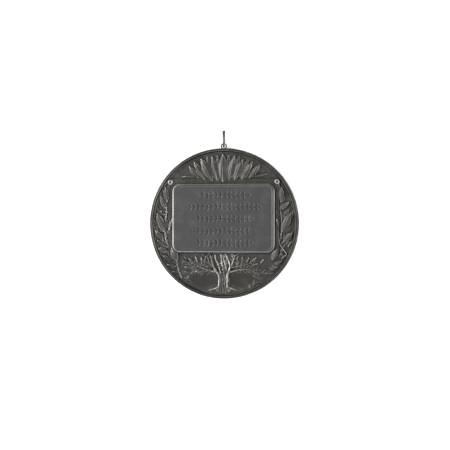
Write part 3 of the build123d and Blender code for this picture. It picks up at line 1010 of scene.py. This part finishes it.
def tablet():
    """The tablet with its border and engraved sprigs, as one closed mesh sunk a little into the disc."""
    core, normals, cells, columns, rows = outline(tablet_step)
    count = len(core)
    xs = np.linspace(core[:, 0].min(), core[:, 0].max(), columns + 1)
    ys = np.linspace(core[:, 1].min(), core[:, 1].max(), rows + 1)
    x, y = (values.ravel() for values in np.meshgrid(xs, ys))
    points = [np.column_stack([x, y, face_height(x, y)])]
    tones = [(wear_and_highlight_at(x, y), grime_and_shade_at(x, y))]
    firsts = [j * (columns + 1) + i for j in range(rows) for i in range(columns)]
    faces = [(a, a + 1, a + columns + 2, a + columns + 1) for a in firsts]
    last = cells[:, 1] * (columns + 1) + cells[:, 0]
    start = len(x)
    up = normals[:, 1]
    # the border's edges painted darker at the top and foot than at the sides: painted shade of the side
    # light
    lit_by_side = 1 - top_edge_shade * ease(up / 0.5) - foot_edge_shade * ease(-up / 0.5)
    for inset in tablet_insets:
        x, y = (core + (tablet_corner - inset) * normals).T
        points.append(np.column_stack([x, y, face_height(x, y)]))
        # the border's brightening: part wear, part painted highlight
        rubbed_and_lit = border_wear_and_highlight * lit_by_side * ease((0.45 - inset) / 0.2)
        tones.append((np.maximum(wear_and_highlight_at(x, y), rubbed_and_lit), grime_and_shade_at(x, y) * (1 - rubbed_and_lit)))
        row = range(start, start + count)
        faces += bridge(last, row)
        last, start = row, start + count
    under = field_level - tablet_bed
    row = range(start, start + count)
    points += [at_height(core + tablet_corner * normals, under), [[0, tablet_rise, under]]]
    tones += [hidden_tone, hidden_tone]
    faces += bridge(last, row) + fan(row[::-1], start + count)
    return make_object("tablet", points, tones, faces)


def tube(path, radius, sides):
    """Vertices and faces of a round tube along a path of points, with domed ends."""
    tangents = np.gradient(path, axis=0)
    tangents /= np.linalg.norm(tangents, axis=1)[:, None]
    side = np.cross(tangents[0], [1.0, 0.3, 0.2])
    vertices = []
    angles = np.arange(sides) * 2 * math.pi / sides
    for p, d in zip(path, tangents):
        side = side - d * np.dot(side, d)
        side /= np.linalg.norm(side)
        other = np.cross(d, side)
        for a in angles:
            vertices.append(p + radius * (math.cos(a) * side + math.sin(a) * other))
    faces = skin(len(path), sides)
    for end, way in ((0, -1), (len(path) - 1, 1)):
        ring = list(range(end * sides, (end + 1) * sides))
        inner = list(range(len(vertices), len(vertices) + sides))
        rise = way * tangents[end] * radius * cap_rise
        vertices += [path[end] + cap_share * (vertices[v] - path[end]) + rise for v in ring]
        faces += bridge(inner, ring) if way < 0 else bridge(ring, inner)
        faces.append(tuple(inner if way > 0 else inner[::-1]))
    return np.array(vertices), faces


def hanging_ring():
    """One turn of wire whose cut ends lie side by side, leaning on the surface as the solid does."""
    wire_radius = ring_wire / 2
    turn_radius = ring_diameter / 2 - wire_radius
    pitch = ring_wire + ring_overlap_gap
    lean = math.radians(ring_lean)
    centre_z = ring_floor_gap + wire_radius + turn_radius * math.cos(lean) + pitch / 4 * math.sin(lean)
    crossings = [
        math.sqrt(turn_radius**2 - ((z - centre_z) / math.cos(lean)) ** 2)
        for z in ((edge_height - eye_depth) / 2, (edge_height + eye_depth) / 2)
    ]
    centre_y = medal_radius + eye_gap + eye_bore / 2 + sum(crossings) / 2
    centre_x = (centre_z - edge_height / 2) * math.tan(lean)
    cut = math.radians(ring_cut_angle)
    turn = np.linspace(cut / 2, 2 * math.pi - cut / 2, ring_stations)
    out = turn_radius * np.cos(turn)
    up = turn_radius * np.sin(turn)
    off = pitch * (0.5 - turn / (2 * math.pi))
    path = np.column_stack([
        centre_x + off * math.cos(lean) + up * math.sin(lean),
        centre_y + out,
        centre_z - off * math.sin(lean) + up * math.cos(lean),
    ])
    vertices, faces = tube(path, wire_radius, ring_sides)
    brightening = wire_wear + wire_wear_swing * np.sin(np.arange(len(vertices)) * 0.37)
    return make_object("hanging_ring_wire", [vertices], [(brightening, wire_grime)], faces)


def eye():
    """The soldered eye: a flattened ring with rounded edges on a flared foot."""
    centre_y = medal_radius + eye_gap + eye_bore / 2
    inner, outer = eye_bore / 2 + eye_round, eye_bore / 2 + eye_wall - eye_round
    half = eye_depth / 2 - eye_round
    profile = []
    for k, (centre, level) in enumerate(((outer, half), (inner, half), (inner, -half), (outer, -half))):
        for step in range(4):
            a = math.radians(k * 90 + step * 30)
            profile.append((centre + eye_round * math.cos(a), level + eye_round * math.sin(a)))
    vertices, faces = [], []
    for k in range(eye_sides):
        angle = 2 * math.pi * k / eye_sides
        toward = -math.sin(angle)
        for radius, z in profile:
            reach = radius
            if radius > (eye_bore + eye_wall) / 2 and toward > foot_spread:
                reach = max(radius, min(radius / toward * 1.02, centre_y - medal_radius + foot_sink))
            y = centre_y + reach * math.sin(angle)
            vertices.append((reach * math.cos(angle), y, edge_height / 2 + z))
    n = len(profile)
    for k in range(eye_sides):
        this, after = k * n, (k + 1) % eye_sides * n
        faces += bridge(range(after, after + n), range(this, this + n))
    return make_object("eye", [vertices], [eye_tone], faces)


def feed(tree, socket, value):
    """Links a socket to another one, or sets it to a constant."""
    if isinstance(value, bpy.types.NodeSocket):
        tree.links.new(value, socket)
    else:
        socket.default_value = value


def node(tree, kind, **inputs):
    """Adds a shader node and feeds the sockets of those names."""
    made = tree.nodes.new(kind)
    for key, value in inputs.items():
        feed(tree, made.inputs[key], value)
    return made


def maths(tree, operation, a, b, clamp=False):
    """Result of a sum or product of two sockets or constants."""
    made = tree.nodes.new("ShaderNodeMath")
    made.operation, made.use_clamp = operation, clamp
    feed(tree, made.inputs[0], a)
    feed(tree, made.inputs[1], b)
    return made.outputs[0]


def with_share(tree, value, other, share, clamp=False):
    """The value plus a share of the other."""
    return maths(tree, "ADD", value, maths(tree, "MULTIPLY", other, share), clamp)


def mix_colour(tree, factor, a, b, blend="MIX"):
    """Colour between a and b, or their product in the share of the factor."""
    made = tree.nodes.new("ShaderNodeMix")
    made.data_type, made.blend_type = "RGBA", blend
    for key, value in ((0, factor), (6, a), (7, b)):
        feed(tree, made.inputs[key], value)
    return made.outputs[2]


def noise(tree, where, scale, detail, roughness=0.5):
    """Cloudy pattern of that scale."""
    made = node(tree, "ShaderNodeTexNoise", Vector=where, Scale=scale, Detail=detail, Roughness=roughness)
    return made.outputs[0]


def attribute(tree, name):
    """A tone of the mesh, read by its name."""
    made = tree.nodes.new("ShaderNodeAttribute")
    made.attribute_name = name
    return made.outputs["Fac"]


def new_material(name):
    """A material with its node tree, its shader and the place on the object."""
    material = bpy.data.materials.new(name)
    material.use_nodes = True
    tree = material.node_tree
    where = node(tree, "ShaderNodeTexCoord").outputs["Object"]
    return material, tree, tree.nodes["Principled BSDF"], where


def metal(name, dull, bright, roughness, filmed):
    """Oxidised silver: dull grey, worn bright on proud edges and sooty in the hollows, with a brown film,
    stains and fine scratches. The tones it reads from the mesh also carry painted highlights and painted
    shade."""
    material, tree, shader, where = new_material(name)
    shader.inputs["Metallic"].default_value = 1.0
    shader.inputs["Specular Tint"].default_value = edge_tint

    stretched = node(tree, "ShaderNodeMapping", Vector=where)
    stretched.inputs["Rotation"].default_value = scratch_turn
    stretched.inputs["Scale"].default_value = scratch_scale
    scratches = noise(tree, stretched.outputs[0], 1.0, 2.0)
    stains = noise(tree, where, stain_scale, 5.0, 0.6)
    grain = noise(tree, where, grain_scale, 3.0, 0.6)

    patchy = with_share(tree, -stain_contrast / 2, stains, stain_contrast)
    brightening = with_share(tree, attribute(tree, "wear_and_highlight"), patchy, stain_wear, clamp=True)
    sooty_and_shaded = with_share(tree, attribute(tree, "grime_and_shade"), patchy, -stain_grime, clamp=True)
    colour = mix_colour(tree, brightening, (*dull, 1.0), (*bright, 1.0))
    colour = mix_colour(tree, sooty_and_shaded, colour, soot_and_shade_colour)
    film = maths(tree, "MULTIPLY", attribute(tree, "film"), filmed)
    feed(tree, shader.inputs["Base Color"], mix_colour(tree, film, colour, brown_film, "MULTIPLY"))

    rough = with_share(tree, roughness, sooty_and_shaded, soot_roughness)
    rough = with_share(tree, rough, brightening, -wear_polish)
    feed(tree, shader.inputs["Roughness"], with_share(tree, rough, scratches, scratch_roughness))

    marks = with_share(tree, scratches, grain, grain_share)
    bump = node(tree, "ShaderNodeBump", Strength=0.25, Distance=mark_depth, Height=marks)
    feed(tree, shader.inputs["Normal"], bump.outputs[0])
    return material


def floor_material():
    """Matt white card with a faint tooth."""
    material, tree, shader, where = new_material("white_card")
    shader.inputs["Roughness"].default_value = 0.9
    shader.inputs["Specular IOR Level"].default_value = 0.1
    tooth = noise(tree, where, 900.0, 4.0)
    pale = mix_colour(tree, tooth, (0.90, 0.90, 0.90, 1.0), (0.93, 0.93, 0.93, 1.0))
    feed(tree, shader.inputs["Base Color"], pale)
    bump = node(tree, "ShaderNodeBump", Strength=0.1, Distance=0.00005, Height=tooth)
    feed(tree, shader.inputs["Normal"], bump.outputs[0])
    return material


# How proud or sunken each place of the face is, worked out on a square grid of the plan.
grid_half = medal_radius + grid_margin
grid_axis = np.arange(-grid_half, grid_half, grid_step)
grid_x, grid_y = np.meshgrid(grid_axis, grid_axis)
grid_z = face_height(grid_x.ravel(), grid_y.ravel()).reshape(grid_x.shape)
grid_z = np.where(np.hypot(grid_x, grid_y) > medal_radius - 0.1, edge_height - 0.5, grid_z)
fine_relief = grid_z - blurred(grid_z, fine_blur)
near_relief = grid_z - blurred(grid_z, near_blur)

# Metal
# dark colour of the oxide in the hollows, also used for the painted shade on the board
soot_and_shade_colour = (0.031, 0.029, 0.027, 1.0)
brown_film = (1.04, 0.97, 0.88, 1.0)
edge_tint = (0.35, 0.35, 0.35, 1.0)  # how much of a low reflection the oxide lets through
stain_scale = 260.0
stain_contrast = 1.3
stain_wear = 0.35
stain_grime = 0.30
grain_scale = 3200.0
grain_share = 0.7
scratch_turn = (0.0, 0.0, 0.6)
scratch_scale = (400.0, 9000.0, 4000.0)
scratch_roughness = 0.10
soot_roughness = 0.22
wear_polish = 0.10
mark_depth = 0.00004

silver = metal("oxidised_silver", (0.050, 0.050, 0.049), (0.365, 0.36, 0.35), 0.38, 0.65)
plate = metal("tablet_silver", (0.066, 0.066, 0.066), (0.25, 0.249, 0.248), 0.38, 0.0)
wire = metal("ring_wire", (0.05, 0.05, 0.049), (0.11, 0.109, 0.107), 0.30, 0.0)

for piece, material, cad_node, record_slot in (
    (disc(), silver, "medal", "oxidised_silver"),
    (tablet(), plate, "medal", "oxidised_silver"),
    (eye(), wire, "medal", "oxidised_silver"),
    (hanging_ring(), wire, "hanging_ring", "ring_wire"),
):
    piece.data.materials.append(material)
    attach(piece, "root")
    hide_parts(cad_node)

# Floor
floor_half = 3.0
floor_drop = 0.00002  # so that the medal's back doesn't lie in it
floor_mesh = bpy.data.meshes.new("floor")
corners = [(floor_half * i, floor_half * j, 0) for i, j in ((-1, -1), (1, -1), (1, 1), (-1, 1))]
floor_mesh.from_pydata(corners, [], [(0, 1, 2, 3)])
floor = bpy.data.objects.new("floor", floor_mesh)
floor.location.z = -floor_drop
floor.data.materials.append(floor_material())
bpy.context.scene.collection.objects.link(floor)

# Camera: the photograph looks down on the face from a little to its right.
picture = 450.0
pixels_per_mm = 3.003
camera_tilt = math.radians(10.5)
aim = Vector((0.38, -0.51, edge_height / 2)) * MM
lens, sensor = 100.0, 36.0
distance = picture / pixels_per_mm * MM * lens / sensor
camera = bpy.data.objects.new("camera", bpy.data.cameras.new("camera"))
camera.data.lens, camera.data.sensor_width = lens, sensor
camera.location = aim + distance * Vector((math.sin(camera_tilt), 0, math.cos(camera_tilt)))
camera.rotation_euler = (0, camera_tilt, 0)
camera.data.clip_start, camera.data.clip_end = 0.01, 20.0
bpy.context.scene.collection.objects.link(camera)
bpy.context.scene.camera = camera

# Lights: soft boxes aimed at the medal, each with its place, size and power.
for name, position, size, power in (
    ("left_softbox", (-0.80, 0.10, 0.50), (0.9, 0.7), 13.0),
    ("right_softbox", (0.80, -0.05, 0.50), (1.2, 0.9), 9.0),
    ("near_softbox", (0.05, -0.85, 0.55), (1.2, 0.8), 6.0),
):
    light = bpy.data.lights.new(name, "AREA")
    light.shape = "RECTANGLE"
    light.size, light.size_y = size
    light.energy = power
    lamp = bpy.data.objects.new(name, light)
    lamp.location = position
    lamp.rotation_euler = (-Vector(position)).to_track_quat("-Z", "Y").to_euler()
    lamp.visible_camera = False
    bpy.context.scene.collection.objects.link(lamp)

# Room: darker overhead, and a little brighter at the left.
room_light = 2.7
room_slope = 1.5
world = bpy.data.worlds.new("studio")
bpy.context.scene.world = world
world.use_nodes = True
room = world.node_tree
background = room.nodes["Background"]
heading = node(room, "ShaderNodeSeparateXYZ", Vector=node(room, "ShaderNodeTexCoord").outputs["Generated"])
ramp = node(room, "ShaderNodeValToRGB", Fac=heading.outputs["Z"])
for stop, position, tone in zip(ramp.color_ramp.elements, (0.10, 0.75), (1.0, 0.30)):
    stop.position = position
    stop.color = (tone, tone, tone, 1.0)
feed(room, background.inputs["Color"], ramp.outputs[0])
strength = with_share(room, room_light, heading.outputs["X"], -room_slope)
feed(room, background.inputs["Strength"], strength)

bpy.context.scene.view_settings.view_transform = "Standard"
